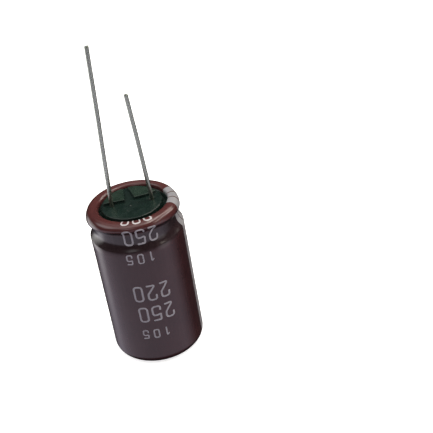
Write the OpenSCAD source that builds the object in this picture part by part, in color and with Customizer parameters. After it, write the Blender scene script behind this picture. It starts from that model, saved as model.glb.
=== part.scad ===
// Radial aluminium electrolytic capacitor, standing on the closed end of its can.
// Origin: centre of the resting end. +Z runs to the leads, +X from the anode lead
// to the cathode lead, so the polarity stripe of the sleeve is centred near +X.

/* [Case] */
// Diameter over the sleeve
case_d = 18.2; // [16:0.1:20]
// Height from the resting end to the crest of the rolled rim
case_h = 32.8; // [30:0.1:42]
// Thickness of the shrunk sleeve
sleeve_t = 0.15; // [0.1:0.01:0.19]
// Wall of the drawn can
wall_t = 0.3; // [0.25:0.01:0.34]
// Thickness of the can's closed end
end_t = 0.45; // [0.4:0.01:0.6]
// Radius of the case's edge at the closed end
end_r = 1.85; // [1.5:0.05:2]
// Width of the sleeve's flat ring on the closed end
end_ring_w = 0.65; // [0.3:0.05:1.2]

/* [Neck and rim] */
// Depth of the rolled neck groove
groove_depth = 1; // [0.7:0.05:1.1]
// Distance from the rim's crest down to the bottom of the groove
groove_drop = 3.4; // [3.2:0.1:4]
// Height of the shoulder under the groove
shoulder_h = 2.25; // [2.15:0.05:2.6]
// How far the rim's outer edge stays inside the case's diameter
rim_inset = 0.25; // [0.05:0.05:0.3]
// Width of the rim's curl, from its outer edge to its crest
rim_w = 1.1; // [1:0.05:1.3]
// Height of the rim's curl
rim_h = 1.2; // [1.1:0.05:1.6]
// Width from the case's diameter to the opening inside the rim
rim_open_w = 2.45; // [2.3:0.05:2.7]
// Depth of the sleeve's edge inside the rim, below the crest
lip_drop = 1.02; // [0.95:0.01:1.2]

/* [End relief score] */
// Length of each of the three score lines, from the centre
score_l = 4.9; // [3:0.1:5.5]
// Width of a score line at the surface
score_w = 0.5; // [0.3:0.05:0.7]
// Depth of a score line
score_depth = 0.22; // [0.1:0.01:0.25]

/* [Stopper] */
// Width of the moat between the rim's opening and the stopper's raised middle
moat_w = 0.8; // [0.4:0.05:1]
// How far the raised middle sits off centre, towards the anode lead
disc_shift = 0.1; // [0:0.05:0.2]
// Depth of the stopper's face below the rim's crest
face_drop = 0.2; // [0.1:0.05:0.5]
// Height of the two stand-off blocks above the stopper's face
block_h = 0.6; // [0.55:0.05:0.9]
// How far the stopper reaches below the shoulder
stopper_low = 0.55; // [0.4:0.05:0.9]

/* [Leads] */
// Distance between the leads where they leave the stopper
lead_pitch = 7.7; // [7.4:0.1:7.8]
// Diameter of a lead wire
lead_d = 0.8; // [0.7:0.05:0.9]
// Height of the anode lead's end above the resting end
anode_end_z = 64.85; // [50:0.05:70]
// Height of the cathode lead's end above the resting end
cathode_end_z = 54.75; // [45:0.05:60]
// How far the anode lead leans towards the middle at its end
anode_lean = 1.78; // [0:0.02:2.2]
// How far the cathode lead leans towards the middle at its end
cathode_lean = 0.96; // [0:0.02:2]

/* [Wound element] */
// Gap between the winding and the can's wall
element_gap = 0.75; // [0.6:0.05:1.1]
// Diameter of the hole that the winding mandrel leaves
core_d = 3.2; // [2:0.1:4]
// Gap between the winding and the stopper
element_drop = 1.54; // [0.8:0.02:3]
// Step where the last turn of paper ends
tail_step = 0.1; // [0.05:0.01:0.2]
// Thickness of the closing tape
tape_t = 0.06; // [0.04:0.01:0.1]
// Width of the closing tape
tape_w = 19; // [10:0.5:20]

/* [Tabs] */
// Diameter of a tab's round boss
boss_d = 2.2; // [1.8:0.1:2.4]
// Thickness of a tab where it is pressed flat
tab_t = 0.26; // [0.2:0.01:0.35]
// Width of a tab where it is pressed flat
tab_w = 2.6; // [2:0.1:3]

/* [Hidden] */

$fn = 96;
R = case_d / 2;
Rin = R - sleeve_t - wall_t;            // inside radius of the can
ro = R - rim_open_w;
rim_out = R - rim_inset;
groove_z = case_h - groove_drop;
shoulder_z = groove_z - shoulder_h;
rim_z = case_h - rim_h;
lip_z = case_h - lip_drop;
face_z = case_h - face_drop;
block_z = face_z + block_h;
stopper_z = shoulder_z - stopper_low;
disc_r = ro - moat_w;
lead_r = lead_d / 2;
lead_x = lead_pitch / 2;
// the wire is straight in the stopper and bends at this height
bend_z = block_z;
bend_r = 3;
floor_z = sleeve_t + end_t;
corner_r = 1.25;                        // inner corner radius at the can's closed end
// the winding rests on that corner
element_r = Rin - element_gap;
element_z = floor_z + 0.007 + corner_r - sqrt(pow(corner_r, 2) - pow(corner_r - element_gap + tail_step, 2));
element_h = stopper_z - element_drop - element_z;
// height of the weld between a tab's boss and its wire
weld_z = face_z - 1.2;
boss_z0 = stopper_z - 0.55;

// --- profiles, as [radius, height] ---
function arc(cx, cy, r, a0, a1, n) =
    [for (i = [0 : n]) let (a = a0 + (a1 - a0) * i / n) [cx + r * cos(a), cy + r * sin(a)]];
function wave(r0, z0, r1, z1, n) =
    [for (i = [0 : n]) let (t = i / n) [r0 + (r1 - r0) * (1 - cos(180 * t)) / 2, z0 + (z1 - z0) * t]];
function rest(v, a = 1) = [for (i = [a : len(v) - 1]) v[i]];
function back(v, a = 0) = [for (i = [len(v) - 1 : -1 : a]) v[i]];
function side(a, b) = let (d = b - a, l = norm(d)) [d[1] / l, -d[0] / l];
// the path p moved inwards by t, with mitred corners
function inset(p, t) = let (m = len(p) - 1) [for (i = [0 : m])
    let (n1 = i == 0 ? side(p[0], p[1]) : side(p[i - 1], p[i]),
         n2 = i == m ? side(p[m - 1], p[m]) : side(p[i], p[i + 1]))
    p[i] - t * (n1 + n2) / (1 + n1 * n2)];

// outer surface of the sleeve, from its edge on the closed end, up the side, over the rim and down to its edge
skin = concat(
    [[R - end_r - end_ring_w, 0]],
    arc(R - end_r, end_r, end_r, -90, 0, 10),
    [for (i = [0 : 12]) let (t = i / 12)
        [R - groove_depth * (1 - cos(180 * pow(t, 0.6))) / 2, shoulder_z + shoulder_h * t]],
    rest(wave(R - groove_depth, groove_z, rim_out, rim_z, 8)),
    [for (a = [9 : 9 : 90]) [rim_out - rim_w + rim_w * cos(a), rim_z + rim_h * sin(a)]],
    arc(ro + 0.55, case_h - 0.62, 0.55, 90, 180, 6),
    [[ro, lip_z]]);
shoulder_i = 12;                        // index of the shoulder's first point
can_out = inset(skin, sleeve_t);
can_in = inset(skin, sleeve_t + wall_t);

// spiral outline that grows by step over one turn and drops back in one step
function spiral(r, step, n = 72) = [for (i = [0 : n]) let (a = 360 * i / n) (r + step * i / n) * [cos(a), sin(a)]];

module turned(p) rotate_extrude($fn = 128) polygon(p);

module sleeve() color([0.30, 0.20, 0.20])
    turned(concat(skin, back(can_out)));

module can() color([0.80, 0.81, 0.82])
    difference() {
        turned(concat(
            [[0, sleeve_t]], can_out,
            back(can_in, shoulder_i),
            arc(Rin - corner_r, floor_z + corner_r, corner_r, 0, -90, 8),
            [[0, floor_z]]));
        // relief score: three lines that meet in the middle
        for (a = [90 : 120 : 330])
            rotate([0, 0, a]) translate([0, 0, sleeve_t]) rotate([90, 0, 90])
                linear_extrude(score_l)
                    polygon([[-score_w / 2 - 0.02, -0.02], [score_w / 2 + 0.02, -0.02], [0, score_depth]]);
    }

// outline of the two stand-off blocks, seen from the leads
block_anode = [[-7, 0.02], [-1.27, 0.39], [-1.58, 4.76], [-1.74, 7], [-7, 7]];
block_cathode = [[0.58, 0.83], [2.9, 1.12], [5.4, 2.2], [7, 2.9], [7, 7], [-1.2, 7]];

module sealing_stopper() color([0.10, 0.12, 0.12])
    difference() {
        union() {
            turned(concat(
                [[0, stopper_z], [Rin - 0.25, stopper_z], [Rin, stopper_z + 0.25]],
                rest(can_in, shoulder_i),
                [[0, lip_z]]));
            // raised middle with a small bevel
            translate([-disc_shift, 0, 0])
                turned([[0, lip_z - 0.2], [disc_r, lip_z - 0.2], [disc_r, face_z - 0.14],
                        [disc_r - 0.14, face_z], [0, face_z]]);
            intersection() {
                translate([-disc_shift, 0, face_z - 0.2]) cylinder(h = block_h + 0.2, r = disc_r - 0.06);
                translate([-disc_shift, -0.25, face_z - 0.2]) cylinder(h = block_h + 0.2, r = disc_r - 0.5);
                translate([0, 0, face_z - 0.2]) linear_extrude(block_h + 0.2) {
                    polygon(block_anode);
                    polygon(block_cathode);
                }
            }
            // moulding specks on the face
            translate([-0.32, -1.16, face_z - 0.1]) cylinder(h = 0.2, d = 0.5);
            translate([-0.96, -2.88, face_z - 0.1]) cylinder(h = 0.18, d = 0.4);
        }
        for (s = [-1, 1]) translate([s * lead_x, 0, 0]) {
            // hole that grips the tab's boss and narrows to the wire
            translate([0, 0, stopper_z - 1]) cylinder(h = weld_z - 0.5 - stopper_z + 1, d = boss_d);
            translate([0, 0, weld_z - 0.5]) cylinder(h = 0.5, d1 = boss_d, d2 = lead_d);
            translate([0, 0, weld_z - 0.1]) cylinder(h = 3, d = lead_d);
            // shallow well round the wire, cut into the block too
            translate([0, 0, face_z - 0.12]) cylinder(h = 3, d = lead_d + 0.3);
        }
    }

// straight wire from the weld up, a slight bend above the stand-off blocks, then straight to its end;
// drawn on the +X side, leaning towards the middle
module lead(end_z, lean) {
    tilt0 = atan2(lean, end_z - bend_z);
    corner_z = bend_z + bend_r * tan(tilt0 / 2);
    tilt = atan2(lean, end_z - corner_z);
    run = norm([lean, end_z - corner_z]) - bend_r * tan(tilt / 2);
    color([0.76, 0.76, 0.74]) union() {
        translate([lead_x, 0, weld_z]) cylinder(h = bend_z - weld_z, r = lead_r, $fn = 96);
        translate([lead_x - bend_r, 0, bend_z]) rotate([90, 0, 0])
            rotate_extrude(angle = tilt, $fn = 96) translate([bend_r, 0]) circle(r = lead_r, $fn = 96);
        translate([lead_x - bend_r * (1 - cos(tilt)), 0, bend_z + bend_r * sin(tilt)])
            rotate([0, -tilt, 0]) cylinder(h = run, r = lead_r, $fn = 96);
    }
}
module anode_lead_wire() mirror([1, 0, 0]) lead(anode_end_z, anode_lean);
module cathode_lead_wire() lead(cathode_end_z, cathode_lean);

// part of a ring round the axis: radius r, thickness t, width w, centred on +X
module curved_strip(r, t, w, h) intersection() {
    difference() {
        cylinder(h = h, r = r + t / 2);
        translate([0, 0, -1]) cylinder(h = h + 2, r = r - t / 2);
    }
    translate([0, -w / 2, 0]) cube([2 * r, w, h]);
}
// the flat part of a tab lies between two turns of the winding
tab_z0 = element_z + 2.5;
module tab_blade(extra = 0) translate([0, 0, tab_z0 - extra])
    curved_strip(lead_x, tab_t, tab_w, boss_z0 + 0.45 - tab_z0 + extra);

module tab(dir) color([0.72, 0.73, 0.75]) rotate([0, 0, dir]) union() {
    tab_blade();
    translate([lead_x, 0, 0]) {
        // boss, its lower end pressed to a wedge
        intersection() {
            translate([0, 0, boss_z0]) cylinder(h = weld_z - 0.5 - boss_z0, d = boss_d);
            translate([0, boss_d, 0]) rotate([90, 0, 0]) linear_extrude(2 * boss_d)
                polygon([[-tab_t / 2, boss_z0], [tab_t / 2, boss_z0], [boss_d / 2, boss_z0 + 1.1],
                         [boss_d / 2, weld_z], [-boss_d / 2, weld_z], [-boss_d / 2, boss_z0 + 1.1]]);
        }
        translate([0, 0, weld_z - 0.5]) cylinder(h = 0.5, d1 = boss_d, d2 = lead_d);
    }
}
module anode_tab() tab(180);
module cathode_tab() tab(0);

module wound_element() color([0.86, 0.82, 0.72])
    difference() {
        translate([0, 0, element_z]) linear_extrude(element_h) difference() {
            polygon(spiral(element_r, tail_step));
            polygon(spiral(core_d / 2, tail_step));
        }
        // slots that the flat parts of the tabs fill
        for (a = [0, 180]) rotate([0, 0, a]) translate([0, 0, tab_z0])
            curved_strip(lead_x, tab_t, tab_w, element_h);
    }

module element_tape() color([0.90, 0.85, 0.55])
    translate([0, 0, element_z + (element_h - tape_w) / 2]) linear_extrude(tape_w) difference() {
        polygon(spiral(element_r + tape_t, tail_step));
        polygon(spiral(element_r, tail_step));
    }

sleeve();
can();
sealing_stopper();
anode_lead_wire();
cathode_lead_wire();
anode_tab();
cathode_tab();
wound_element();
element_tape();
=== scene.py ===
import math

import bpy
import bmesh
import numpy as np
from mathutils import Matrix, Vector


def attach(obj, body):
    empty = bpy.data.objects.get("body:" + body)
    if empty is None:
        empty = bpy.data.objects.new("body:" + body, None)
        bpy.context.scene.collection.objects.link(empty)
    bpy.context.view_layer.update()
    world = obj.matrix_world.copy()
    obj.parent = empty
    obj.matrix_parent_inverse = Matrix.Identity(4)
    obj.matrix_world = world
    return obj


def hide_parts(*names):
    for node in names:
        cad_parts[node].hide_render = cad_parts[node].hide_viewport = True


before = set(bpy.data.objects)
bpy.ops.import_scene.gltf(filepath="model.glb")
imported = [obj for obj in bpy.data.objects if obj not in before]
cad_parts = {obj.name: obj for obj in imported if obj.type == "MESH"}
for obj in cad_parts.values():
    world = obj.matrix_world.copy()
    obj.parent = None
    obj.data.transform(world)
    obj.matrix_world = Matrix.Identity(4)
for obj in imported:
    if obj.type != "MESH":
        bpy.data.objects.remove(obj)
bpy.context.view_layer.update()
MM = 0.001
rng = np.random.default_rng(7)


# ---------------------------------------------------------------- helpers: meshes
def add_mesh(name, verts_mm, faces, mats, mat_index=None, sharp=None, smooth=True):
    me = bpy.data.meshes.new(name)
    me.from_pydata([tuple(v) for v in (np.asarray(verts_mm, float) * MM)], [], [tuple(int(i) for i in f) for f in faces])
    for m in mats:
        me.materials.append(m)
    if mat_index is not None:
        me.polygons.foreach_set("material_index", np.asarray(mat_index, dtype=np.int32))
    bm = bmesh.new()
    bm.from_mesh(me)
    bmesh.ops.recalc_face_normals(bm, faces=bm.faces)
    bm.to_mesh(me)
    bm.free()
    if smooth:
        me.polygons.foreach_set("use_smooth", [True] * len(me.polygons))
        if sharp is not None:
            me.set_sharp_from_angle(angle=math.radians(sharp))
    me.update()
    ob = bpy.data.objects.new(name, me)
    bpy.context.scene.collection.objects.link(ob)
    return ob


def grid_faces(nu, nv, wrap_u=False, wrap_v=False):
    """Quads of a grid of nu rows and nv columns, row-major."""
    f = []
    for i in range(nu if wrap_u else nu - 1):
        a = i * nv
        b = ((i + 1) % nu) * nv
        for j in range(nv if wrap_v else nv - 1):
            k = (j + 1) % nv
            f.append((a + j, a + k, b + k, b + j))
    return f


# ---------------------------------------------------------------- helpers: nodes
class Mat:
    def __init__(self, name):
        self.m = bpy.data.materials.new(name)
        self.m.use_nodes = True
        self.t = self.m.node_tree
        self.b = self.t.nodes["Principled BSDF"]
        self.tc = self.t.nodes.new("ShaderNodeTexCoord")

    def set(self, **kw):
        for k, v in kw.items():
            self.b.inputs[k.replace("_", " ")].default_value = v
        return self

    def link(self, a, b):
        self.t.links.new(a, b)

    def node(self, kind, **kw):
        n = self.t.nodes.new(kind)
        for k, v in kw.items():
            setattr(n, k, v)
        return n

    def put(self, n, sock, v):
        if hasattr(v, "is_output") or isinstance(v, bpy.types.NodeSocket):
            self.link(v, n.inputs[sock])
        elif v is not None:
            n.inputs[sock].default_value = v

    def math(self, op, a, b=None, c=None, clamp=False):
        n = self.node("ShaderNodeMath", operation=op, use_clamp=clamp)
        self.put(n, 0, a)
        self.put(n, 1, b)
        self.put(n, 2, c)
        return n.outputs[0]

    def noise(self, scale, detail=3.0, rough=0.55, vec=None, dist=0.0):
        n = self.node("ShaderNodeTexNoise")
        n.inputs["Scale"].default_value = scale
        n.inputs["Detail"].default_value = detail
        n.inputs["Roughness"].default_value = rough
        n.inputs["Distortion"].default_value = dist
        self.link(vec if vec is not None else self.tc.outputs["Object"], n.inputs["Vector"])
        return n.outputs["Fac"]

    def scaled(self, sx, sy, sz, vec=None):
        n = self.node("ShaderNodeMapping")
        n.inputs["Scale"].default_value = (sx, sy, sz)
        self.link(vec if vec is not None else self.tc.outputs["Object"], n.inputs["Vector"])
        return n.outputs["Vector"]

    def span(self, v, a, b, c, d, smooth=False):
        n = self.node("ShaderNodeMapRange", interpolation_type="SMOOTHSTEP" if smooth else "LINEAR", clamp=True)
        self.put(n, 0, v)
        for i, x in enumerate((a, b, c, d)):
            n.inputs[i + 1].default_value = x
        return n.outputs[0]

    def mix(self, f, a, b):
        n = self.node("ShaderNodeMix", data_type="RGBA")
        self.put(n, 0, f)
        for i, v in ((6, a), (7, b)):
            if isinstance(v, (tuple, list)):
                n.inputs[i].default_value = (*v, 1.0) if len(v) == 3 else v
            else:
                self.link(v, n.inputs[i])
        return n.outputs[2]

    def bump(self, height, strength, distance, base=None):
        n = self.node("ShaderNodeBump")
        n.inputs["Strength"].default_value = strength
        n.inputs["Distance"].default_value = distance
        self.link(height, n.inputs["Height"])
        if base is not None:
            self.link(base, n.inputs["Normal"])
        return n.outputs["Normal"]

    def xyz(self):
        n = self.node("ShaderNodeSeparateXYZ")
        self.link(self.tc.outputs["Object"], n.inputs[0])
        return n.outputs[0], n.outputs[1], n.outputs[2]

    def out(self, colour=None, rough=None, normal=None, metallic=None):
        for v, s in ((colour, "Base Color"), (rough, "Roughness"), (normal, "Normal"), (metallic, "Metallic")):
            if v is not None:
                self.link(v, self.b.inputs[s])
        return self.m


# ---------------------------------------------------------------- sizes, mm, as in the CAD model
R, H = 9.1, 32.8
END_R, END_OPEN = 1.85, 6.6
SHOULDER, GROOVE, DEPTH = 27.15, 29.4, 1.0
RIM_Z, RIM_OUT, RIM_W, RO, LIP = 30.8, 9.05, 1.3, 6.65, 31.78
FACE, BLOCK, WELD, STOPPER_Z = 32.6, 33.2, 31.4, 26.6
SLEEVE_T = 0.15
LEAD_X, LEAD_R = 3.85, 0.4


def arc(cx, cy, r, a0, a1, n):
    a = np.radians(np.linspace(a0, a1, n + 1))
    return np.stack([cx + r * np.cos(a), cy + r * np.sin(a)], -1)


def wave(r0, z0, r1, z1, n):
    t = np.linspace(0, 1, n + 1)
    return np.stack([r0 + (r1 - r0) * (1 - np.cos(np.pi * t)) / 2, z0 + (z1 - z0) * t], -1)


def straight(a, b, n):
    t = np.linspace(0, 1, n + 1)[:, None]
    return np.asarray(a) * (1 - t) + np.asarray(b) * t


def neck(n, depth, z1):
    """Rounded shoulder that runs out slowly into the groove."""
    t = np.linspace(0, 1, n + 1)
    return np.stack([R - depth * (1 - np.cos(np.pi * t ** 0.6)) / 2, SHOULDER + (z1 - SHOULDER) * t], -1)


def skin(out, zm, w, power, depth, z1, z2):
    """Outer profile of the sleeve, from its edge on the closed end up to its edge inside the rim.
    The groove is depth deep and straight from z1 to z2. The curl of the rim is out wide at the height zm and w deep;
    power 1 is an ellipse, less than 1 a squarer curl."""
    a = np.radians(np.linspace(0, 90, 25))
    curl = np.stack([out - w + w * np.cos(a) ** power, zm + (H - zm) * np.sin(a) ** power], -1)
    return np.concatenate([
        straight((END_OPEN, 0), (R - END_R, 0), 3)[:-1],
        arc(R - END_R, END_R, END_R, -90, 0, 16)[:-1],
        straight((R, END_R), (R, SHOULDER), 18)[:-1],
        neck(24, depth, z1)[:-1],
        straight((R - depth, z1), (R - depth, z2), 6)[:-1],
        wave(R - depth, z2, out, zm, 14)[:-1],
        curl[:-1],
        straight((out - w, H), (RO + 0.55, H - 0.07), 4)[:-1],
        arc(RO + 0.55, H - 0.62, 0.55, 90, 180, 10)[:-1],
        straight((RO, H - 0.62), (RO, LIP), 3),
    ])


def normals(p, s):
    d = np.gradient(p, s, axis=0)
    d /= np.linalg.norm(d, axis=1)[:, None]
    return np.stack([d[:, 1], -d[:, 0]], -1)


# the rolled rim is a tall curl at the sides and the back, and a flatter one over a wide neck in front
SKIN = skin(RIM_OUT, RIM_Z, RIM_W, 1.0, DEPTH, GROOVE, GROOVE + 0.06)
FRONT = skin(9.1, 31.85, 1.6, 0.85, 0.6, 28.9, 30.7)
SKIN_S = np.concatenate([[0], np.cumsum(np.linalg.norm(np.diff(SKIN, axis=0), axis=1))])
FRONT_S = np.concatenate([[0], np.cumsum(np.linalg.norm(np.diff(FRONT, axis=0), axis=1))])
SKIN_N, FRONT_N = normals(SKIN, SKIN_S), normals(FRONT, FRONT_S)
S_END = SKIN_S[-1]
S_GROOVE = float(np.interp(GROOVE, SKIN[19:70, 1], SKIN_S[19:70]))
S_CREST = float(SKIN_S[np.argmax(SKIN[:, 1])])


def sleeve_point(phi, s, off):
    """Points of the shrunk sleeve: phi in degrees, s along its outer profile in mm from its edge on the closed end,
    off outwards in mm. The film is a little uneven, and its cut edges wander."""
    phi, s, off = np.broadcast_arrays(np.asarray(phi, float), np.asarray(s, float), np.asarray(off, float))
    a = np.radians(phi)
    f = ((1 - np.sin(a)) / 2) ** 3
    r, z, nr, nz = ((1 - f) * np.interp(s, SKIN_S, p[:, k]) + f * np.interp(s, SKIN_S, q[:, k])
                    for p, q, k in ((SKIN, FRONT, 0), (SKIN, FRONT, 1), (SKIN_N, FRONT_N, 0), (SKIN_N, FRONT_N, 1)))
    l = np.hypot(nr, nz)
    nr, nz = nr / l, nz / l
    # slow unevenness of the film over the can, always inwards so that the piece keeps its size
    w = np.clip((s - 4.0) / 3.0, 0, 1) * np.clip((S_END - 3.2 - s) / 1.5, 0, 1)
    h = -0.012 * w * (1 + 0.6 * np.sin(3 * a + 0.42 * s + 1.1) + 0.4 * np.sin(5 * a - 0.9 * s + 0.4)) / 2
    folds = np.exp(-((z - 28.6) / 1.3) ** 2) + 0.6 * np.exp(-((z - 30.6) / 0.9) ** 2)
    h += -0.018 * folds * (1 + np.sin(7 * a + 0.8) * np.sin(2 * a + 2.0)) / 2
    o = off + h
    # the cut edge inside the rim: nearer the middle on the anode side, with a slow wander
    t = np.clip((s - S_CREST - 0.15) / (S_END - S_CREST - 0.15), 0, 1) ** 0.8
    edge = 0.13 * np.cos(a - 0.35) + 0.10 * np.cos(a) + 0.035 * np.sin(2 * a + 0.9) + 0.028 * np.sin(5 * a + 2.2) + 0.018 * np.sin(9 * a) - 0.02
    # the cut edge on the closed end
    u = np.clip(1 - s / 0.55, 0, 1)
    edge2 = 0.06 * np.sin(2 * a + 0.5) + 0.05 * np.sin(5 * a + 1.7) + 0.03 * np.sin(11 * a)
    rr = r + nr * o + t * edge + u * edge2
    zz = np.maximum(z + nz * o, 0.0)
    # the rim was rolled a little off centre
    shift = -0.10 * np.clip((s - S_GROOVE) / 1.5, 0, 1)
    return np.stack([rr * np.cos(a) + shift, rr * np.sin(a), zz], -1)


# ---------------------------------------------------------------- camera
sc = bpy.context.scene
cam_d = bpy.data.cameras.new("camera")
cam = bpy.data.objects.new("camera", cam_d)
sc.collection.objects.link(cam)
sc.camera = cam
cam_d.sensor_fit = "HORIZONTAL"
cam_d.sensor_width = 36.0
cam_d.lens = 975.4 / 433 * 36.0
cam_d.clip_start, cam_d.clip_end = 0.01, 10.0
_f = Vector((0.01932, 0.84882, -0.52833)).normalized()
_r = Vector((0.98504, -0.10667, -0.13535))
_r = (_r - _f * _r.dot(_f)).normalized()
_u = _r.cross(_f)
cam.matrix_world = Matrix((
    (_r.x, _u.x, -_f.x, 0.011753),
    (_r.y, _u.y, -_f.y, -0.160039),
    (_r.z, _u.z, -_f.z, 0.125830),
    (0, 0, 0, 1)))


# ---------------------------------------------------------------- materials
def sleeve_material():
    m = Mat("sleeve_film")
    x, y, z = m.xyz()
    ang = m.math("MULTIPLY", m.math("ARCTAN2", y, x), 180 / math.pi)
    wob = m.math("MULTIPLY", m.math("SUBTRACT", m.noise(900, 2), 0.5), 0.9)
    a = m.math("ADD", ang, wob)
    # the pale stripe, with its pair of thin lines and the dashes between them
    left = m.span(z, 0.0270, 0.0300, -17.0, -20.9)
    stripe = m.math("MULTIPLY", m.span(m.math("SUBTRACT", a, left), 0, 0.8, 0, 1, True), m.span(a, 24.1, 24.9, 1, 0, True))
    l1 = m.span(m.math("ABSOLUTE", m.math("SUBTRACT", a, 8.6)), 0.8, 1.35, 1, 0, True)
    l2 = m.span(m.math("ABSOLUTE", m.math("SUBTRACT", a, -5.0)), 0.8, 1.35, 1, 0, True)
    lines = m.math("MAXIMUM", l1, l2)
    zz = m.math("MODULO", m.math("ADD", m.math("MULTIPLY", z, 1000), 1.2), 6.6)
    dash_z = m.math("MULTIPLY", m.span(zz, 1.6, 1.75, 0, 1, True), m.span(zz, 5.0, 5.15, 1, 0, True))
    dash_a = m.span(m.math("ABSOLUTE", m.math("SUBTRACT", a, 1.8)), 2.6, 3.1, 1, 0, True)
    low = m.span(z, 0.0266, 0.0268, 1, 0, True)
    dash = m.math("MULTIPLY", m.math("MULTIPLY", dash_z, dash_a), low)
    ink = m.math("MULTIPLY", stripe, m.math("SUBTRACT", 1.0, m.math("MAXIMUM", m.math("MULTIPLY", lines, 0.85), dash)), clamp=True)
    # brown film: slow variation, faint streaks along the draw, small specks
    big = m.noise(160, 4, 0.6)
    streak = m.noise(1, 3, 0.6, vec=m.scaled(1500, 1500, 110))
    spot = m.span(m.noise(5200, 2, 0.5), 0.69, 0.75, 0, 1)
    body = m.mix(m.span(big, 0.3, 0.7, 0, 1), (0.040, 0.0130, 0.0145), (0.058, 0.0205, 0.0220))
    body = m.mix(m.math("MULTIPLY", m.span(streak, 0.35, 0.75, 0, 1), 0.30), body, (0.062, 0.027, 0.029))
    # painted shade: darker and less red in the rolled neck, where the rim's overhang shades it
    groove = m.math("MULTIPLY", m.span(z, 0.0264, 0.0274, 0, 0.75, True), m.span(z, 0.0300, 0.0309, 1, 0, True))
    body = m.mix(groove, body, m.mix(m.span(streak, 0.35, 0.65, 0, 1), (0.021, 0.0150, 0.0165), (0.032, 0.0230, 0.0250)))
    # painted light: redder and brighter over the rim, where light falls from above
    body = m.mix(m.span(z, 0.0309, 0.0317, 0, 0.85, True), body, m.mix(m.span(big, 0.3, 0.7, 0, 1), (0.088, 0.0265, 0.0255), (0.110, 0.0330, 0.0310)))
    body = m.mix(m.math("MULTIPLY", spot, 0.35), body, (0.15, 0.10, 0.09))
    pale = m.mix(m.span(m.noise(700, 4, 0.65), 0.3, 0.7, 0, 1), (0.31, 0.305, 0.32), (0.37, 0.365, 0.38))
    colour = m.mix(ink, body, pale)
    rough = m.math("ADD", m.span(m.noise(900, 3), 0.3, 0.7, 0.13, 0.21), m.math("MULTIPLY", ink, 0.14))
    h = m.math("ADD", m.math("MULTIPLY", m.noise(420, 3, 0.5), 1.0), m.math("MULTIPLY", m.noise(3200, 2, 0.5), 0.16))
    h = m.math("ADD", h, m.math("MULTIPLY", ink, 0.05))
    n = m.bump(h, 0.35, 0.00006)
    m.set(IOR=1.5)
    return m.out(colour, rough, n)


def ink_material():
    m = Mat("print_ink")
    v = m.noise(1400, 4, 0.65)
    colour = m.mix(m.span(v, 0.3, 0.7, 0, 1), (0.41, 0.390, 0.410), (0.51, 0.490, 0.510))
    worn = m.span(m.noise(3800, 3, 0.6), 0.62, 0.72, 0, 0.4)
    colour = m.mix(worn, colour, (0.24, 0.21, 0.22))
    # painted light: the print is whiter over the rim, where light falls from above
    colour = m.mix(m.span(m.xyz()[2], 0.0312, 0.0320, 0, 0.6, True), colour, m.mix(v, (0.56, 0.53, 0.53), (0.68, 0.65, 0.65)))
    n = m.bump(m.noise(4200, 2), 0.3, 0.00002)
    m.set(IOR=1.45)
    return m.out(colour, m.span(v, 0.3, 0.7, 0.36, 0.5), n)


def rubber_material():
    m = Mat("stopper_rubber")
    big = m.noise(420, 4, 0.6)
    colour = m.mix(m.span(big, 0.3, 0.7, 0, 1), (0.0040, 0.0135, 0.0100), (0.0095, 0.0230, 0.0175))
    z = m.xyz()[2]  # painted light: the faces of the stand-off blocks are a little paler, standing in for the light they catch and reflect
    colour = m.mix(m.span(z, 0.03305, 0.03318, 0, 0.8), colour, m.mix(m.span(big, 0.35, 0.65, 0, 1), (0.012, 0.027, 0.018), (0.024, 0.044, 0.030)))
    dust = m.span(m.noise(4200, 3, 0.6), 0.68, 0.78, 0, 1)
    colour = m.mix(m.math("MULTIPLY", dust, 0.55), colour, (0.11, 0.12, 0.115))
    rough = m.math("ADD", m.span(m.noise(700, 4, 0.6), 0.3, 0.7, 0.20, 0.36), m.math("MULTIPLY", dust, 0.25))
    h = m.math("ADD", m.noise(650, 3, 0.55), m.math("MULTIPLY", m.noise(3600, 2), 0.22))
    n = m.bump(h, 0.18, 0.00011)
    m.set(IOR=1.52)
    return m.out(colour, rough, n)


def tin_material():
    m = Mat("tinned_wire")
    x, y, z = m.xyz()
    v = m.noise(1, 4, 0.6, vec=m.scaled(3000, 3000, 160))
    w = m.noise(2600, 3, 0.6)
    colour = m.mix(m.span(v, 0.3, 0.7, 0, 1), (0.235, 0.260, 0.215), (0.41, 0.445, 0.385))
    # painted shade: the wire darkens towards the stopper, in the shade between the blocks
    painted_root_shade = m.span(z, 0.0325, 0.0352, 1, 0, True)
    colour = m.mix(m.math("MULTIPLY", painted_root_shade, 0.72), colour, (0.090, 0.104, 0.076))
    rough = m.span(w, 0.3, 0.7, 0.20, 0.34)
    h = m.math("ADD", v, m.math("MULTIPLY", w, 0.4))
    n = m.bump(h, 0.35, 0.00004)
    m.set(Metallic=1.0)
    return m.out(colour, rough, n)


def aluminium_material(name, turned=True):
    m = Mat(name)
    x, y, z = m.xyz()
    rad = m.math("SQRT", m.math("ADD", m.math("MULTIPLY", x, x), m.math("MULTIPLY", y, y)))
    c = m.node("ShaderNodeCombineXYZ")
    m.link(m.math("MULTIPLY", rad, 9000 if turned else 900), c.inputs[0])
    m.link(m.math("MULTIPLY", z, 5200), c.inputs[1])
    ring = m.noise(1, 4, 0.6, vec=c.outputs[0])
    blot = m.noise(300, 4, 0.6)
    colour = m.mix(m.span(blot, 0.3, 0.7, 0, 1), (0.66, 0.67, 0.68), (0.79, 0.80, 0.81))
    scr = m.span(m.noise(1, 3, 0.6, vec=m.scaled(5000, 260, 260)), 0.68, 0.74, 0, 1)
    colour = m.mix(m.math("MULTIPLY", scr, 0.35), colour, (0.52, 0.53, 0.54))
    rough = m.math("ADD", m.span(ring, 0.3, 0.7, 0.30, 0.42), m.math("MULTIPLY", blot, 0.08))
    n = m.bump(m.math("ADD", ring, m.math("MULTIPLY", m.noise(1500, 3), 0.5)), 0.3, 0.00003)
    m.set(Metallic=1.0)
    return m.out(colour, rough, n)


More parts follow.
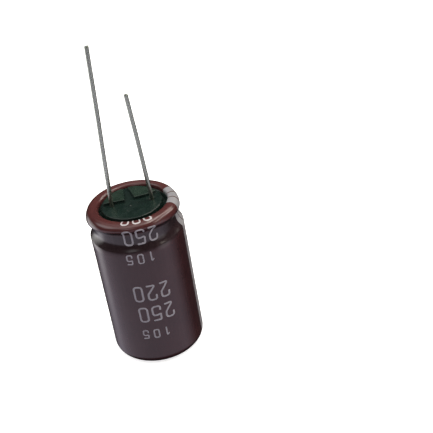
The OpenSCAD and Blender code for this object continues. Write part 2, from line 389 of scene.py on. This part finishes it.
def roll_material():
    m = Mat("wound_roll")
    x, y, z = m.xyz()
    rad = m.math("SQRT", m.math("ADD", m.math("MULTIPLY", x, x), m.math("MULTIPLY", y, y)))
    ang = m.math("DIVIDE", m.math("ARCTAN2", y, x), 2 * math.pi)
    turn = m.math("FRACT", m.math("SUBTRACT", m.math("DIVIDE", rad, 0.00028), ang))
    foil = m.span(m.math("ABSOLUTE", m.math("SUBTRACT", turn, 0.5)), 0.16, 0.22, 1, 0, True)
    paper = m.mix(m.noise(2200, 4, 0.6), (0.52, 0.44, 0.30), (0.66, 0.58, 0.43))
    colour = m.mix(m.math("MULTIPLY", foil, 0.75), paper, (0.42, 0.42, 0.42))
    n = m.bump(m.math("ADD", turn, m.math("MULTIPLY", m.noise(3000, 2), 0.5)), 0.5, 0.00006)
    return m.out(colour, m.span(foil, 0, 1, 0.75, 0.4), n)


def tape_material():
    m = Mat("closing_tape")
    v = m.noise(1, 3, 0.6, vec=m.scaled(900, 900, 90))
    colour = m.mix(v, (0.62, 0.50, 0.20), (0.74, 0.62, 0.32))
    n = m.bump(v, 0.25, 0.00004)
    return m.out(colour, m.span(v, 0.3, 0.7, 0.25, 0.4), n)


M_SLEEVE, M_INK, M_RUBBER, M_TIN = sleeve_material(), ink_material(), rubber_material(), tin_material()
M_CAN, M_TAB = aluminium_material("drawn_aluminium"), aluminium_material("pressed_aluminium", False)
M_ROLL, M_TAPE = roll_material(), tape_material()


# ---------------------------------------------------------------- sleeve
def build_sleeve():
    nseg = 288
    phi = np.linspace(0, 360, nseg, endpoint=False)
    outer = SKIN_S
    keep = [i for i in range(len(SKIN_S)) if i % 2 == 0 or i in (0, len(SKIN_S) - 1)]
    rows = [sleeve_point(phi, s, 0.0) for s in outer]
    # the cut edges are rounded over, then the inside surface runs back down against the can
    rows.append(sleeve_point(phi, S_END, -SLEEVE_T * 0.5) + np.array([0, 0, -0.02]))
    rows += [sleeve_point(phi, SKIN_S[i], -SLEEVE_T) for i in reversed(keep)]
    rows.append(sleeve_point(phi, 0.0, -SLEEVE_T * 0.5))
    v = np.concatenate(rows)
    f = grid_faces(len(rows), nseg, wrap_u=True, wrap_v=True)
    return add_mesh("sleeve_film_skin", v, f, [M_SLEEVE], sharp=50)


sleeve = build_sleeve()
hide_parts("sleeve")
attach(sleeve, "root")


# ---------------------------------------------------------------- printed numerals
def rounded(pts, radius, closed=False, step=0.07):
    """Polyline with its corners rounded to about radius, resampled at about step."""
    pts = [np.asarray(p, float) for p in pts]
    n = len(pts)
    out = []
    rad = radius if hasattr(radius, "__len__") else [radius] * n
    for i, p in enumerate(pts):
        if not closed and i in (0, n - 1):
            out.append(p)
            continue
        a, b = pts[i - 1], pts[(i + 1) % n]
        u, w = (a - p) / np.linalg.norm(a - p), (b - p) / np.linalg.norm(b - p)
        ca = np.clip(u @ w, -1, 1)
        half = math.acos(ca) / 2
        d = min(rad[i] / math.tan(half), 0.49 * np.linalg.norm(a - p), 0.49 * np.linalg.norm(b - p))
        r = d * math.tan(half)
        bis = (u + w) / np.linalg.norm(u + w)
        c = p + bis * (r / math.sin(half))
        p0, p1 = p + u * d, p + w * d
        a0 = math.atan2(*(p0 - c)[::-1])
        a1 = math.atan2(*(p1 - c)[::-1])
        da = (a1 - a0 + math.pi) % (2 * math.pi) - math.pi
        k = max(3, int(abs(da) * r / step) + 2)
        out += [c + r * np.array([math.cos(a0 + da * t), math.sin(a0 + da * t)]) for t in np.linspace(0, 1, k)]
    out = np.array(out)
    if closed:
        out = np.concatenate([out, out[:1]])
    seg = np.linalg.norm(np.diff(out, axis=0), axis=1)
    ok = np.concatenate([[True], seg > 1e-6])
    out = out[ok]
    L = np.concatenate([[0], np.cumsum(np.linalg.norm(np.diff(out, axis=0), axis=1))])
    m = max(8, int(round(L[-1] / step)))
    t = np.linspace(0, L[-1], m + 1)
    res = np.stack([np.interp(t, L, out[:, 0]), np.interp(t, L, out[:, 1])], -1)
    return res[:-1] if closed else res


def glyph(ch):
    """Centre lines of a plain numeral in a box 1.54 wide and 3.29 high, centred on 0."""
    x, y = 0.77, 1.645
    if ch == "0":
        return [(rounded([(-x, -y), (x, -y), (x, y), (-x, y)], 0.58, True), True)]
    if ch == "1":
        return [(rounded([(-0.42, y - 0.62), (0.16, y), (0.16, -y)], 0.2), False)]
    if ch == "2":
        return [(rounded([(-x, y - 0.95), (-x, y), (x, y), (x, 0.28), (-x, -y), (x, -y)], [0, 0.58, 0.58, 0.7, 0.22, 0]), False)]
    if ch == "5":
        return [(rounded([(x - 0.08, y), (-x + 0.1, y), (-x, 0.22), (-0.1, 0.42), (x, 0.42), (x, -y), (-x, -y), (-x, -y + 0.85)],
                         [0, 0.22, 0.2, 0.3, 0.55, 0.58, 0.55, 0]), False)]
    return []


def ribbon(path, closed, w, put, top, bottom):
    """Closed ribbon of width w along path, laid on a surface by put(x, y, height). Returns vertices and faces."""
    n = len(path)
    if closed:
        t = np.roll(path, -1, 0) - np.roll(path, 1, 0)
    else:
        t = np.gradient(path, axis=0)
    t /= np.linalg.norm(t, axis=1)[:, None]
    half = np.full(n, w / 2)
    pts = path
    if not closed:
        caps = np.radians([80, 55, 30])
        a = np.array([path[0] - t[0] * (w / 2) * math.sin(c) for c in caps])
        b = np.array([path[-1] + t[-1] * (w / 2) * math.sin(c) for c in caps[::-1]])
        pts = np.concatenate([a, path, b])
        half = np.concatenate([w / 2 * np.cos(caps), half, w / 2 * np.cos(caps[::-1])])
        t = np.concatenate([np.repeat(t[:1], 3, 0), t, np.repeat(t[-1:], 3, 0)])
        n = len(pts)
    nrm = np.stack([-t[:, 1], t[:, 0]], -1)
    cols = [(-1.0, bottom), (-1.0, top * 0.35), (-0.82, top), (-0.4, top), (0.0, top), (0.4, top), (0.82, top), (1.0, top * 0.35), (1.0, bottom), (0.0, bottom)]
    v = np.stack([put(*(pts + nrm * (half * c)[:, None]).T, h) for c, h in cols], 1).reshape(-1, 3)
    k = len(cols)
    f = grid_faces(n, k, wrap_u=closed, wrap_v=True)
    if not closed:
        f.append(tuple(range(k))[::-1])
        f.append(tuple((n - 1) * k + i for i in range(k)))
    return v, f


def numerals(name, rows, w):
    """rows: (digits, centre angle of each, height along the profile, scale across, scale up, lowest and highest s)."""
    verts, faces, base = [], [], 0
    for digits, angles, s0, kx, ky, s_max in rows:
        for ch, ph in zip(digits, angles):
            for path, closed in glyph(ch):
                p = path * np.array([kx, ky])
                parts = [(p, closed)]
                if s_max is not None:  # the row runs over the cut edge of the film
                    inside = (s0 - p[:, 1]) < s_max
                    if not inside.all():
                        if closed:  # start the walk just after the part that is cut off
                            k = int(np.argmax(~inside))
                            p, inside = np.roll(p, -k, 0), np.roll(inside, -k)
                        parts, run = [], []
                        for q, ok in zip(p, inside):
                            if ok:
                                run.append(q)
                            elif len(run) > 2:
                                parts.append((np.array(run), False))
                                run = []
                            else:
                                run = []
                        if len(run) > 2:
                            parts.append((np.array(run), False))

                def put(x, y, h, ph=ph, s0=s0):
                    # heights of the rows are lengths along the profile in front
                    return sleeve_point(ph - np.degrees(x / R), np.interp(s0 - y, FRONT_S, SKIN_S), h)

                for q, c in parts:
                    v, f = ribbon(q, c, w, put, 0.016, -0.02)
                    verts.append(v)
                    faces += [tuple(i + base for i in g) for g in f]
                    base += len(v)
    return add_mesh(name, np.concatenate(verts), faces, [M_INK], sharp=60)


big = numerals("numerals_large", [
    ("250", (-67.8, -84.2, -100.2), 32.04, 1.02, 1.05, None),
    ("220", (-68.6, -84.9, -101.3), 19.22, 1.0, 1.0, None),
    ("250", (-67.8, -84.2, -100.2), 14.25, 1.0, 0.98, None),
    ("220", (-68.6, -84.9, -101.3), 36.95, 1.0, 1.0, 36.57),
], 0.36)
small = numerals("numerals_small", [
    ("105", (-76.2, -89.4, -102.8), 27.25, 0.62, 0.60, None),
    ("105", (-76.2, -89.4, -102.8), 9.45, 0.62, 0.57, None),
], 0.27)
for o in (big, small):
    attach(o, "root")


# ---------------------------------------------------------------- stopper
DX = -0.10
DISC = 5.85
MOAT = 0.75


def smax(vals, k):
    """Smooth maximum of a list of arrays, which rounds the corner where they meet by about k."""
    v = vals[0]
    for b in vals[1:]:
        hgt = np.clip(0.5 + 0.5 * (b - v) / k, 0, 1)
        v = v * (1 - hgt) + b * hgt + k * hgt * (1 - hgt)
    return v


def half_plane(x, y, p, q):
    """Signed distance to the line p-q, negative on its left."""
    d = np.array(q, float) - np.array(p, float)
    d /= np.linalg.norm(d)
    return (x - p[0]) * d[1] - (y - p[1]) * d[0]


def well(x, y, s, r=0.55):
    return r - np.hypot(x - s * LEAD_X, y)


def outer(x, y):
    """The blocks' common outer wall, a little in front of the stopper's middle."""
    return smax([np.hypot(x + 0.1, y + 0.25) - 5.35, np.hypot(x - DX, y) - (DISC - 0.06)], 0.1)


def field_a(x, y):
    return smax([outer(x, y), half_plane(x, y, (-7, 0.02), (-1.27, 0.39)),
                 half_plane(x, y, (-1.27, 0.39), (-1.58, 4.76)), well(x, y, -1)], 0.2)


def field_c(x, y):
    front = smax([half_plane(x, y, (0.5, 0.82), (2.9, 1.12)), half_plane(x, y, (2.9, 1.12), (5.4, 2.2))], 0.3)
    return smax([outer(x, y), front, half_plane(x, y, (-0.45, 4.4), (0.58, 0.85))], 0.2)


def loops(field, centre, levels, n=540):
    """Level sets of a star-shaped field seen from centre: a list of (x, y) loops, one a level."""
    a = np.linspace(0, 2 * math.pi, n, endpoint=False)
    c, s = np.cos(a), np.sin(a)
    out = []
    for lv in levels:
        lo, hi = np.zeros(n), np.full(n, 14.0)
        # first crossing: march, then bisect
        step, found, t = 0.05, np.zeros(n, bool), np.zeros(n)
        last = np.zeros(n)
        for k in range(int(14 / step)):
            t = t + step
            f = field(centre[0] + t * c, centre[1] + t * s) - lv
            new = (~found) & (f > 0)
            lo[new], hi[new] = last[new], t[new]
            found |= new
            last = np.where(found, last, t)
            if found.all():
                break
        for _ in range(30):
            mid = (lo + hi) / 2
            f = field(centre[0] + mid * c, centre[1] + mid * s) - lv
            lo, hi = np.where(f > 0, lo, mid), np.where(f > 0, mid, hi)
        out.append(np.stack([centre[0] + lo * c, centre[1] + lo * s], -1))
    return out


def block(name, field, centre):
    """One stand-off block: flared foot, drafted wall, rounded top edge, nearly flat top."""
    b = 0.09
    lev, z = [0.10, 0.055, 0.02, 0.0, -0.02], [FACE - 0.25, FACE + 0.03, FACE + 0.09, FACE + 0.16, BLOCK - b]
    for a in (18, 36, 54, 72, 90):
        lev.append(-0.02 - b * (1 - math.cos(math.radians(a))))
        z.append(BLOCK - b + b * math.sin(math.radians(a)))
    for d, drop in ((0.30, 0.0), (0.55, 0.0), (0.9, 0.0)):
        lev.append(-d)
        z.append(BLOCK - drop)
    ls = loops(field, centre, lev)
    v = [np.column_stack([l, np.full(len(l), zz)]) for l, zz in zip(ls, z)]
    n = len(ls[0])
    v = np.concatenate(v + [[[centre[0], centre[1], BLOCK]], [[centre[0], centre[1], z[0]]]])
    f = grid_faces(len(ls), n, wrap_v=True)
    top, bot = len(v) - 2, len(v) - 1
    o = (len(ls) - 1) * n
    f += [(o + i, o + (i + 1) % n, top) for i in range(n)]
    f += [((i + 1) % n, i, bot) for i in range(n)]
    return add_mesh(name, v, f, [M_RUBBER])


def turned(name, prof, nseg, mats, cx=0.0, sharp=None):
    """Closed body of revolution whose profile starts and ends on the axis."""
    a = np.linspace(0, 2 * math.pi, nseg, endpoint=False)
    rows = [np.column_stack([cx + r * np.cos(a), r * np.sin(a), np.full(nseg, z)]) for r, z in prof[1:-1]]
    v = np.concatenate(rows + [[[cx, 0, prof[0][1]]], [[cx, 0, prof[-1][1]]]])
    f = grid_faces(len(rows), nseg, wrap_v=True)
    b, t = len(v) - 2, len(v) - 1
    o = (len(rows) - 1) * nseg
    f += [((i + 1) % nseg, i, b) for i in range(nseg)] + [(o + i, o + (i + 1) % nseg, t) for i in range(nseg)]
    return add_mesh(name, v, f, mats, sharp=sharp)


def inset_path(p, t):
    d = np.gradient(p, np.concatenate([[0], np.cumsum(np.linalg.norm(np.diff(p, axis=0), axis=1))]), axis=0)
    d /= np.linalg.norm(d, axis=1)[:, None]
    return p - t * np.stack([d[:, 1], -d[:, 0]], -1)


def boolean(a, b, op):
    m = a.modifiers.new("b", "BOOLEAN")
    m.operation, m.solver, m.object = op, "EXACT", b
    dg = bpy.context.evaluated_depsgraph_get()
    me = bpy.data.meshes.new_from_object(a.evaluated_get(dg))
    a.modifiers.clear()
    old = a.data
    a.data = me
    bpy.data.meshes.remove(old)
    bpy.data.objects.remove(b)


def build_stopper():
    k = int(np.argmin(np.abs(SKIN[:, 1] - SHOULDER) + (SKIN[:, 0] < R - 0.01) * 9))
    wall = inset_path(SKIN[k:], 0.47)
    wall = [tuple(q) for q in wall[wall[:, 1] < 32.32]]
    wall = [(min(q[0], 8.15), q[1]) if q[1] > 29.6 else q for q in wall if q[0] > 7.6]
    z0 = STOPPER_Z
    prof = [(0, z0), (8.38, z0), (8.6, z0 + 0.22)] + wall + [(7.4, 32.3), (7.16, 32.2), (7.12, LIP - 0.02), (6.72, LIP - 0.015), (6.60, LIP - 0.05), (6.54, LIP - 0.16), (6.52, LIP - MOAT + 0.12), (6.42, LIP - MOAT + 0.02), (6.3, LIP - MOAT), (0, LIP - MOAT)]
    base = turned("sealing_stopper_rubber", prof, 192, [M_RUBBER])
    # raised middle: filleted foot, slight crown, rounded edge
    mid = [(0, LIP - MOAT - 0.3), (DISC + 0.16, LIP - MOAT - 0.3), (DISC + 0.16, LIP - MOAT - 0.03), (DISC + 0.07, LIP - MOAT + 0.05), (DISC + 0.02, LIP - MOAT + 0.14), (DISC, LIP - MOAT + 0.26)]
    e = 0.13
    mid += [(DISC - e + e * math.cos(math.radians(t)), FACE - e + e * math.sin(math.radians(t))) for t in (0, 15, 30, 45, 60, 75, 90)]
    mid += [(5.3, FACE), (4.0, FACE), (2.4, FACE), (1.0, FACE), (0, FACE)]
    disc = turned("mid", mid, 256, [M_RUBBER], cx=DX)
    boolean(base, disc, "UNION")
    boolean(base, block("blk_a", field_a, (-3.0, 2.2)), "UNION")
    boolean(base, block("blk_c", field_c, (2.1, 3.1)), "UNION")
    # shallow dishes round the wires
    for s in (-1, 1):
        p = [(0, FACE - 0.11), (0.44, FACE - 0.12), (0.50, FACE - 0.09), (0.58, FACE - 0.03), (0.70, FACE + 0.008), (0.70, FACE + 0.02), (0, FACE + 0.02)]
        w = turned("well", p, 64, [M_RUBBER], cx=s * LEAD_X)
        boolean(base, w, "DIFFERENCE")
    # moulding specks
    for (x, y, r, hgt) in ((-0.32, -1.16, 0.26, 0.14), (-0.96, -2.88, 0.20, 0.11), (0.95, -0.35, 0.12, 0.05), (1.45, -3.1, 0.10, 0.04), (-2.6, -1.9, 0.11, 0.05), (-1.35, -1.7, 0.12, 0.05)):
        p = [(0, FACE - 0.1), (r, FACE - 0.1), (r, FACE + 0.01)] + [(r * math.cos(math.radians(t)), FACE + 0.01 + hgt * math.sin(math.radians(t))) for t in (20, 45, 70)] + [(0, FACE + 0.01 + hgt)]
        q = turned("speck", p, 28, [M_RUBBER])
        q.data.transform(Matrix.Translation((x * MM, y * MM, 0)))
        boolean(base, q, "UNION")
    base.data.set_sharp_from_angle(angle=math.radians(48))
    wn = base.modifiers.new("wn", "WEIGHTED_NORMAL")
    wn.keep_sharp = True
    return base


stopper = build_stopper()
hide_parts("sealing_stopper")
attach(stopper, "root")


# ---------------------------------------------------------------- leads
def lead_wire(name, sx, end_z, lean, seed):
    bend_z, rb = BLOCK, 3.0
    t0 = math.atan2(lean, end_z - bend_z)
    corner = bend_z + rb * math.tan(t0 / 2)
    tilt = math.atan2(lean, end_z - corner)
    run = math.hypot(lean, end_z - corner) - rb * math.tan(tilt / 2)
    pts, tan = [], []
    for z in np.linspace(WELD, bend_z, 7)[:-1]:
        pts.append((LEAD_X, 0, z)); tan.append((0, 0, 1))
    for a in np.linspace(0, tilt, 5)[:-1]:
        pts.append((LEAD_X - rb * (1 - math.cos(a)), 0, bend_z + rb * math.sin(a))); tan.append((-math.sin(a), 0, math.cos(a)))
    d = np.array((-math.sin(tilt), 0, math.cos(tilt)))
    p0 = np.array((LEAD_X - rb * (1 - math.cos(tilt)), 0, bend_z + rb * math.sin(tilt)))
    n = int(run / 0.35)
    g = np.random.default_rng(seed)
    ph = g.uniform(0, 6.28, 4)
    for i in range(n + 1):
        L = run * i / n
        w = 0.035 * np.sin(np.pi * L / run)  # a wire is never quite straight
        off = np.array((w * math.sin(0.21 * L + ph[0]), w * 1.3 * math.sin(0.17 * L + ph[1]), 0))
        pts.append(tuple(p0 + d * L + off)); tan.append(tuple(d))
    nseg = 40
    a = np.linspace(0, 2 * math.pi, nseg, endpoint=False)
    rows = []
    for i, (p, t) in enumerate(zip(pts, tan)):
        t = np.array(t); ey = np.array((0, 1.0, 0)); ex = np.cross(ey, t)
        r = LEAD_R * (1 - 0.006 * (1 + math.sin(0.9 * i + ph[2])))
        rows.append(np.array(p) + r * (np.cos(a)[:, None] * ex + np.sin(a)[:, None] * ey))
    # the sheared end: pinched a little one way, with a small burr and a slanted face
    t = d; ex = np.cross((0, 1.0, 0), t); ey = np.array((0, 1.0, 0)); p = np.array(pts[-1])
    del rows[-1]
    pin = math.radians(35 + 40 * sx)
    u, v = math.cos(pin) * ex + math.sin(pin) * ey, -math.sin(pin) * ex + math.cos(pin) * ey
    for back, ru, rv in ((0.30, 1.0, 1.0), (0.16, 0.985, 0.93), (0.07, 0.95, 0.82), (0.03, 0.88, 0.70), (0.012, 0.62, 0.46)):
        lift = -back - 0.05 * (1 + np.cos(a)) * (0 if back > 0.2 else 1)
        rows.append(p + t * lift[:, None] + LEAD_R * (ru * np.cos(a)[:, None] * u + rv * np.sin(a)[:, None] * v))
    # the last rings are turned by the pinch, so they start at the matching angle
    k = int(round(pin / (2 * math.pi) * nseg))
    for i in range(len(rows) - 5, len(rows)):
        rows[i] = np.roll(rows[i], k, 0)
    rows = [r * np.array((sx, 1, 1)) for r in rows]
    v = np.concatenate(rows + [[rows[0].mean(0)], [rows[-1].mean(0)]])
    f = grid_faces(len(rows), nseg, wrap_v=True)
    b, tp = len(v) - 2, len(v) - 1
    o = (len(rows) - 1) * nseg
    f += [((i + 1) % nseg, i, b) for i in range(nseg)] + [(o + i, o + (i + 1) % nseg, tp) for i in range(nseg)]
    return add_mesh(name, v, f, [M_TIN], sharp=55)


for name, node, sx, ez, ln, sd in (("anode_wire_tinned", "anode_lead_wire", -1, 64.85, 1.78, 3), ("cathode_wire_tinned", "cathode_lead_wire", 1, 54.75, 0.96, 5)):
    o = lead_wire(name, sx, ez, ln, sd)
    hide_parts(node)
    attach(o, "root")


# ---------------------------------------------------------------- carried-over CAD nodes
def finish_node(name, mat):
    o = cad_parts[name]
    if not o.material_slots:
        o.data.materials.append(mat)
    for s in o.material_slots:
        s.link = "OBJECT"
        s.material = mat


finish_node("can", M_CAN)
finish_node("anode_tab", M_TAB)
finish_node("cathode_tab", M_TAB)
finish_node("wound_element", M_ROLL)
finish_node("element_tape", M_TAPE)


# ---------------------------------------------------------------- stage: floor and light
def build_world():
    """Soft studio surround: softboxes on both sides and behind, a pale table that darkens near the part, a dim room."""
    w = bpy.data.worlds.new("studio")
    sc.world = w
    w.use_nodes = True
    t = w.node_tree
    bg = t.nodes["Background"]
    tc = t.nodes.new("ShaderNodeTexCoord")

    def vec(op, *args):
        n = t.nodes.new("ShaderNodeVectorMath")
        n.operation = op
        for i, v in enumerate(args):
            if isinstance(v, (tuple, list)):
                n.inputs[i].default_value = v
            else:
                t.links.new(v, n.inputs["Scale"] if op == "SCALE" and i == 1 else n.inputs[i])
        return n.outputs["Value"] if op == "DOT_PRODUCT" else n.outputs[0]

    def ramp(v, a, b):
        m = t.nodes.new("ShaderNodeMapRange")
        m.interpolation_type = "SMOOTHSTEP"
        t.links.new(v, m.inputs[0])
        m.inputs[1].default_value, m.inputs[2].default_value = a, b
        return m.outputs[0]

    def sin(deg):
        return math.sin(math.radians(deg))

    total = None
    lobes = (  # azimuth, elevation of the middle, inner and outer half angle, colour, strength
        (0, 87, 4, 28, (1.0, 0.985, 0.96), 1.6),
        (5, 46, 4, 32, (1.0, 1.0, 1.0), 0.5),
        (60, 55, 6, 36, (1.0, 1.0, 1.0), 0.1),
        (113, 62, 4, 28, (1.0, 1.0, 1.0), 0.7),
        (175, 44, 4, 27, (1.0, 1.0, 1.0), 2.3),
        (-144, 62, 4, 28, (1.0, 1.0, 1.0), 0.4),
        (-158, 70, 2, 12, (1.0, 0.94, 0.86), 1.8),
        (-110, 38, 3, 20, (1.0, 1.0, 1.0), 1.6),
        (-32, -8, 3, 22, (1.0, 0.97, 0.98), 0.9),
        (152, -12, 5, 27, (1.0, 0.99, 0.97), 1.9),
    )
    # two curved strip lights, which draw the pair of thin lines along the right of the rim
    strips = ((-4, 72), (35, 68), (54, 60), (44, 49), (32, 37)), ((-31, 31), (-17, 40), (1, 44), (12, 34), (20, 21))
    lobes += tuple((az, el, 1, 8.0, (1.0, 0.92, 0.82), 7.5) for strip in strips for az, el in strip)
    gen = tc.outputs["Generated"]
    for az, el, ia, oa, col, k in lobes:
        a, e = math.radians(az), math.radians(el)
        d = vec("DOT_PRODUCT", gen, (math.cos(e) * math.cos(a), math.cos(e) * math.sin(a), math.sin(e)))
        part = vec("SCALE", [c * k for c in col], ramp(d, math.cos(math.radians(oa)), math.cos(math.radians(ia))))
        total = part if total is None else vec("ADD", total, part)
    # the table, as a band below the horizon
    up = vec("DOT_PRODUCT", gen, (0, 0, 1))
    table = vec("SCALE", vec("SCALE", [0.78, 0.72, 0.86], ramp(up, sin(-56), sin(-42))), ramp(up, sin(-7), sin(-22)))
    side = vec("DOT_PRODUCT", gen, (math.cos(math.radians(-115)), math.sin(math.radians(-115)), 0))
    table = vec("SCALE", table, ramp(side, -0.62, 0.05))
    total = vec("ADD", vec("ADD", total, table), (0.03, 0.03, 0.034))
    t.links.new(total, bg.inputs["Color"])
    bg.inputs["Strength"].default_value = 1.0


def build_stage():
    m = Mat("floor_pale")
    v = m.noise(30, 3, 0.5)
    m.set(IOR=1.3)
    m.b.inputs["Emission Color"].default_value = (1, 1, 1, 1)
    m.b.inputs["Emission Strength"].default_value = 0.75
    mat = m.out(m.mix(v, (0.84, 0.84, 0.84), (0.87, 0.87, 0.87)), m.span(v, 0.3, 0.7, 0.55, 0.65))
    s = 4000.0
    floor = add_mesh("floor", [(-s, -s, 0), (s, -s, 0), (s, s, 0), (-s, s, 0)], [(0, 1, 2, 3)], [mat], smooth=False)
    # the table that the part mirrors is the studio surround's lower half, so the floor itself only takes shadows
    floor.visible_glossy = False
    floor.visible_diffuse = False

    def area(name, loc, target, sx, sy, power, colour=(1, 1, 1)):
        d = bpy.data.lights.new(name, "AREA")
        d.shape, d.size, d.size_y, d.energy, d.color = "RECTANGLE", sx, sy, power, colour
        o = bpy.data.objects.new(name, d)
        o.location = loc
        o.rotation_euler = (Vector(target) - Vector(loc)).to_track_quat("-Z", "Y").to_euler()
        sc.collection.objects.link(o)
        return o

    area("key", (0.235, 0.06, 0.33), (0, 0, 0.03), 0.12, 0.40, 0.16)
    build_world()


build_stage()
sc.view_settings.view_transform = "Standard"
sc.view_settings.look = "None"
